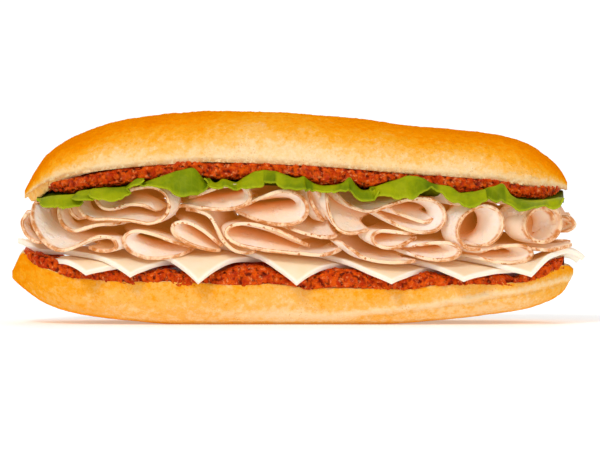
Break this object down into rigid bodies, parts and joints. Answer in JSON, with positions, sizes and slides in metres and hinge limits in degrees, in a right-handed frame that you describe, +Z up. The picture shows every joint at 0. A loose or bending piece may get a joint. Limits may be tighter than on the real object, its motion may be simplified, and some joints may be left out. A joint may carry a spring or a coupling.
{
  "type": "submarine sandwich",
  "caption": "Long split roll filled with folded turkey slices, overlapping cheese squares, ruffled lettuce and chunky red sauce, resting on its flat underside.",
  "frame": {"origin": "middle of the flat underside of the lower half of the roll, at the surface it rests on", "axes": "+X along the roll, +Y from the side that is looked at towards the back, +Z up"},
  "size_m": [0.2056, 0.084, 0.0757],
  "materials": {
    "crust": "golden baked crust, soft satin",
    "sauce": "chunky red sauce, wet gloss",
    "cheese": "smooth ivory cheese, soft sheen",
    "turkey": "moist pale slices with a thin browned rind",
    "lettuce": "fresh yellow-green leaf, light gloss"
  },
  "bodies": {
    "root": {"bread_bottom": "crust", "bread_top": "crust", "cheese_1": "cheese", "cheese_2": "cheese", "cheese_3": "cheese", "cheese_4": "cheese", "cheese_5": "cheese", "cheese_6": "cheese", "cheese_7": "cheese", "lettuce_1": "lettuce", "lettuce_2": "lettuce", "lettuce_3": "lettuce", "lettuce_4": "lettuce", "sauce_bottom": "sauce", "sauce_top": "sauce", "turkey_arch": "turkey", "turkey_broad_face": "turkey", "turkey_cover": "turkey", "turkey_cup_lining_1": "turkey", "turkey_cup_lining_2": "turkey", "turkey_end_leaf": "turkey", "turkey_flap": "turkey", "turkey_inner_wave": "turkey", "turkey_left_cup": "turkey", "turkey_left_loop": "turkey", "turkey_loop_lining": "turkey", "turkey_low_loop_1": "turkey", "turkey_low_loop_2": "turkey", "turkey_low_loop_3": "turkey", "turkey_low_sheet": "turkey", "turkey_mid_loop_1": "turkey", "turkey_mid_loop_2": "turkey", "turkey_pinch": "turkey", "turkey_roll_1": "turkey", "turkey_roll_2": "turkey", "turkey_tip_1": "turkey", "turkey_tip_2": "turkey", "turkey_top_loop_1": "turkey", "turkey_top_loop_2": "turkey", "turkey_top_loop_3": "turkey", "turkey_upper_fold": "turkey"}
  },
  "joints": []
}
